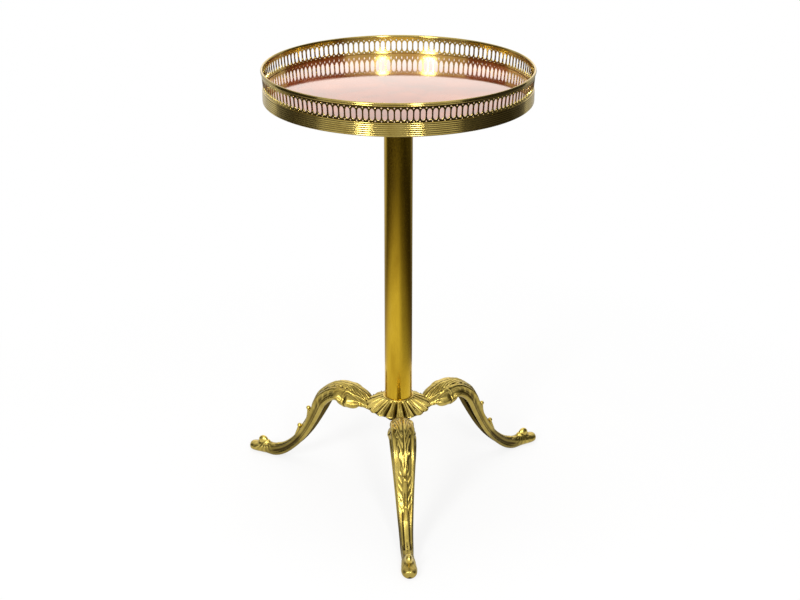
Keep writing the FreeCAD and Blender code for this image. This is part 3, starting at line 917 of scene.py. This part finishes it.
def leg_root(first):
    """Rings that carry the casting on from its first ring, under the collar to the hub."""
    low, high = LEG_START_HEIGHT - ROOT_BELOW, collar_low - LEG_GAP
    y = first[:, 1] * ROOT_HALF / np.abs(first[:, 1]).max()
    z = low + (first[:, 2] - first[:, 2].min()) * (high - low) / np.ptp(first[:, 2])
    places = (root_inner, collar_radius - ROOT_COVER)
    return np.array([np.stack([np.full(len(first), x), y, z], 1) for x in places])


def add_beads(made, grid, normal):
    """Small balls that stand off the shin, each on a tail that sinks into it."""
    share = np.linspace(0, 1, TAIL_STEPS)[:, None]
    for at, radius, off in SHIN_BEADS:
        row = round(at * RINGS_PER_STATION)
        out = normal[row, 0]
        centre = grid[row, 0] + out * off * MM
        made.ball(centre, [radius * MM] * 3, 0.95)
        bend, tail = (grid[row + after, 0] + out * stand * MM for after, stand in (TAIL_BEND, TAIL_END))
        path = (1 - share) ** 2 * centre + 2 * share * (1 - share) * bend + share ** 2 * tail
        made.tube(path, np.linspace(*TAIL_TAPER, TAIL_STEPS) * radius * MM, 0.7)


def add_knob(made):
    """Upright lobe over the swelling on the instep, on a wider foot."""
    for along, up, radii, wear_and_shade, tilt in KNOB_BALLS:
        centre = (KNOB_PLACE[0] + along * MM, 0, KNOB_PLACE[1] + up * MM)
        made.ball(centre, [r * MM for r in radii], wear_and_shade, tilt)


def leg_mesh():
    """One leg along +X: root, carved casting, beads and knob."""
    grid, station, crest = leg_grid()
    height = carving(station, crest)
    normal = grid_normals(grid)
    grid = grid + normal * (height * MM)[:, :, None]
    grid[:, :, 2] = np.maximum(grid[:, :, 2], 0.0)
    root = leg_root(grid[0])
    columns = grid.shape[1]
    rings = len(root) + len(grid)
    wear_and_shade = np.concatenate([np.full(len(root) * columns, ROOT_WEAR), leg_wear_and_shade(height, station, crest).ravel()])
    made = Builder()
    made.add(np.concatenate([root, grid]).reshape(-1, 3), grid_faces(rings, columns), wear_and_shade)
    made.faces.append(tuple(range(columns))[::-1])
    made.faces.append(tuple(range((rings - 1) * columns, rings * columns)))
    add_beads(made, grid, normal)
    add_knob(made)
    return new_mesh("leg_cast", made.points, made.faces, made.wear_and_shade, sharp=0.9)


def make_legs():
    mesh = leg_mesh()
    for name, angle in LEG_ANGLES.items():
        turned_copy = mesh.copy()
        turned_copy.name = name + "_cast"
        turned_copy.transform(Matrix.Rotation(math.radians(angle), 4, "Z"))
        add_piece(name + "_cast", turned_copy, CAST_BRASS, "table", "cast_brass", name)
    bpy.data.meshes.remove(mesh)


# Solids that stay, with their own finish
FINISHES = {
    "tray_plate": PLAIN_BRASS, "column_flange": PLAIN_BRASS, "hub": PLAIN_BRASS,
    "flange_screws": STEEL, "tie_rod": STEEL, "leg_bolts": STEEL, "rod_washer": STEEL, "rod_nut": STEEL,
}


def finish_solids():
    for name, mat in FINISHES.items():
        node = nodes[name]
        node.data.materials.clear()
        node.data.materials.append(mat)


# Studio
CAMERA_PLACE = (-0.0989, -1.6464, 0.9506)
CAMERA_PITCH = 0.401                    # below the horizon
CAMERA_TURN = -0.060
CAMERA_LENS = 67.85
CAMERA_SENSOR = 36.0
CAMERA_SHIFT = 0.0020
AMBIENT = 0.55                          # strength of the white world as light
FLOOR_HALF = 8.0
FLOOR_SHADE = (0.86, 0.86, 0.86)
FLOOR_ROUGH = 0.9
SHADOW_REACH = (0.15, 0.75)             # from the column: where plain white starts to rise and is full
SHADOW_WHITE = (0.78, 1.0)              # its share at the two places
LAMPS = {                               # place, target, size, power and colour
    "key": ((-1.11, -1.77, 1.45), (0, 0, 0.5), (0.42, 0.95), 30, (1, 1, 1)),
    "second": ((0.41, -2.06, 1.45), (0, 0, 0.5), (0.30, 0.95), 21, (1, 1, 1)),
    "overhead": ((0.0, 0.3, 2.4), (0, 0, 0.3), (1.6, 1.2), 12, (1, 1, 1)),
    "back": ((0.1, 1.95, 1.05), (0, 0, 0.5), (2.4, 1.0), 8.0, (1.0, 0.87, 0.74)),
}
# dark glow of the cards, seen only in gloss: painted dark reflections
CARD_SHADE = (0.07, 0.068, 0.065)
CARDS = {                               # side, from and to along Y, and height
    "card_right": (1.3, -1.2, 0.75, 1.9),
    "card_left": (-1.6, -0.6, 0.9, 1.6),
}
# Glowing ground seen only in gloss: its shades are painted reflections of a floor lit near the table and dark
# away from it
SURROUND_RINGS = (0.36, 0.6, 0.9, 1.4, 2.2, 4.0)
SURROUND_STEPS = 96
SURROUND_HEIGHT = 0.002
SURROUND_REACH = 2.0                    # distance at which its shades end
SURROUND_SHADES = [                     # share of that distance from the centre of the sheet, and shade
    (0.18, (0.97, 0.97, 0.97)), (0.25, (0.78, 0.78, 0.77)), (0.32, (0.46, 0.42, 0.38)),
    (0.39, (0.155, 0.132, 0.110)), (0.50, (0.054, 0.044, 0.036)), (1.0, (0.022, 0.019, 0.016)),
]
SHEET_CENTRE = (-0.10, -0.25, 0.0)
BEHIND_SHADE = (0.60, 0.60, 0.58)
BEHIND_Y = (0.25, 0.8)                  # where that shade starts and is full
RIGHT_X = (0.0, 0.28)                   # where the ground starts to dim and is dimmest
RIGHT_STRENGTH = 0.50


def seen_directly(tree_nodes, links):
    """1 for rays that the camera, gloss or glass sends, 0 for light that falls on surfaces."""
    path = tree_nodes.new("ShaderNodeLightPath").outputs
    seen = math_node(tree_nodes, links, "MAXIMUM", path["Is Camera Ray"], path["Is Glossy Ray"])
    return math_node(tree_nodes, links, "MAXIMUM", seen, path["Is Transmission Ray"])


def make_world():
    """White all round, at full strength to the eye and in gloss, and less as light."""
    world = bpy.data.worlds.new("studio")
    bpy.context.scene.world = world
    world.use_nodes = True
    tree_nodes, links = world.node_tree.nodes, world.node_tree.links
    ground = tree_nodes["Background"]
    strength = map_range(tree_nodes, links, seen_directly(tree_nodes, links), 0.0, 1.0, AMBIENT, 1.0)
    links.new(strength, ground.inputs["Strength"])
    ground.inputs["Color"].default_value = (1, 1, 1, 1)


def sheet(name, corners, mat):
    """Object of one flat face."""
    mesh = bpy.data.meshes.new(name)
    mesh.from_pydata(corners, [], [(0, 1, 2, 3)])
    mesh.materials.append(mat)
    return bpy.data.objects.new(name, mesh)


def make_floor():
    """Pale floor that keeps the table's shadow near it and turns to plain white away from it."""
    mat, tree_nodes, links, shader = material("pale_floor")
    shader.inputs["Base Color"].default_value = (*FLOOR_SHADE, 1)
    shader.inputs["Roughness"].default_value = FLOOR_ROUGH
    glow = tree_nodes.new("ShaderNodeEmission")
    glow.inputs["Strength"].default_value = 1.0
    mix = tree_nodes.new("ShaderNodeMixShader")
    coords = tree_nodes.new("ShaderNodeTexCoord")
    away = tree_nodes.new("ShaderNodeVectorMath")
    away.operation = "LENGTH"
    links.new(coords.outputs["Object"], away.inputs[0])
    white = map_range(tree_nodes, links, away.outputs["Value"], *SHADOW_REACH, *SHADOW_WHITE)
    share = math_node(tree_nodes, links, "MULTIPLY", seen_directly(tree_nodes, links), white)
    links.new(share, mix.inputs["Fac"])
    links.new(shader.outputs["BSDF"], mix.inputs[1])
    links.new(glow.outputs["Emission"], mix.inputs[2])
    links.new(mix.outputs["Shader"], tree_nodes["Material Output"].inputs["Surface"])
    corners = [(x * FLOOR_HALF, y * FLOOR_HALF, 0) for x, y in ((-1, -1), (1, -1), (1, 1), (-1, 1))]
    floor = sheet("floor", corners, mat)
    bpy.context.scene.collection.objects.link(floor)


def glowing(name):
    """A material that only glows, with its nodes, its links and its glow."""
    mat, tree_nodes, links, _ = material(name)
    glow = tree_nodes.new("ShaderNodeEmission")
    links.new(glow.outputs["Emission"], tree_nodes["Material Output"].inputs["Surface"])
    return mat, tree_nodes, links, glow


def gloss_only(obj):
    """A stage piece that shows only in the gloss of the metal and marble."""
    bpy.context.scene.collection.objects.link(obj)
    for ray in ("camera", "diffuse", "transmission", "volume_scatter", "shadow"):
        setattr(obj, "visible_" + ray, False)


def make_surround():
    """Glowing ground seen only in gloss, whose shades are painted reflections: bright near the table like a
    lit floor, dark away from it, dimmer on the right, light behind.
    """
    mat, tree_nodes, links, glow = glowing("dim_surround")
    coords = tree_nodes.new("ShaderNodeTexCoord")
    away = tree_nodes.new("ShaderNodeVectorMath")
    away.operation = "DISTANCE"
    away.inputs[1].default_value = SHEET_CENTRE
    links.new(coords.outputs["Object"], away.inputs[0])
    share = map_range(tree_nodes, links, away.outputs["Value"], 0.0, SURROUND_REACH, 0.0, 1.0)
    shade = ramp(tree_nodes, links, share, SURROUND_SHADES)
    place = tree_nodes.new("ShaderNodeSeparateXYZ")
    links.new(coords.outputs["Object"], place.inputs["Vector"])
    behind = map_range(tree_nodes, links, place.outputs["Y"], *BEHIND_Y, 0.0, 1.0)
    links.new(mix_colour(tree_nodes, links, behind, shade, BEHIND_SHADE), glow.inputs["Color"])
    strength = map_range(tree_nodes, links, place.outputs["X"], *RIGHT_X, 1.0, RIGHT_STRENGTH)
    links.new(strength, glow.inputs["Strength"])
    rings = np.concatenate([ring(r, SURROUND_HEIGHT, full_turn(SURROUND_STEPS)) for r in SURROUND_RINGS])
    mesh = bpy.data.meshes.new("surround")
    mesh.from_pydata([tuple(p) for p in rings], [], grid_faces(len(SURROUND_RINGS), SURROUND_STEPS))
    mesh.materials.append(mat)
    gloss_only(bpy.data.objects.new("surround", mesh))


def make_cards():
    """Dark cards on both sides of the table, as a studio uses them to give metal its dark edges; seen only in
    gloss, they are painted dark reflections.
    """
    mat, _, _, glow = glowing("dark_card")
    glow.inputs["Color"].default_value = (*CARD_SHADE, 1)
    for name, (x, y_low, y_high, height) in CARDS.items():
        corners = [(x, y_low, 0), (x, y_high, 0), (x, y_high, height), (x, y_low, height)]
        gloss_only(sheet(name, corners, mat))


def make_lamps():
    for name, (place, target, size, power, colour) in LAMPS.items():
        data = bpy.data.lights.new(name, "AREA")
        data.shape = "RECTANGLE"
        data.size, data.size_y = size
        data.energy = power
        data.color = colour
        lamp = bpy.data.objects.new(name, data)
        bpy.context.scene.collection.objects.link(lamp)
        lamp.location = place
        lamp.rotation_euler = (Vector(target) - Vector(place)).to_track_quat("-Z", "Y").to_euler()
        lamp.visible_camera = False


def make_camera():
    data = bpy.data.cameras.new("camera")
    data.lens = CAMERA_LENS
    data.sensor_width = CAMERA_SENSOR
    data.shift_x = CAMERA_SHIFT
    camera = bpy.data.objects.new("camera", data)
    bpy.context.scene.collection.objects.link(camera)
    camera.location = CAMERA_PLACE
    camera.rotation_euler = (math.pi / 2 - CAMERA_PITCH, 0, CAMERA_TURN)
    bpy.context.scene.camera = camera


make_strip()
make_bead()
make_band()
make_marble()
make_column()
make_collar()
make_legs()
finish_solids()
make_world()
make_floor()
make_lamps()
make_surround()
make_cards()
make_camera()
bpy.context.scene.view_settings.view_transform = "Standard"

bpy.context.view_layer.update()
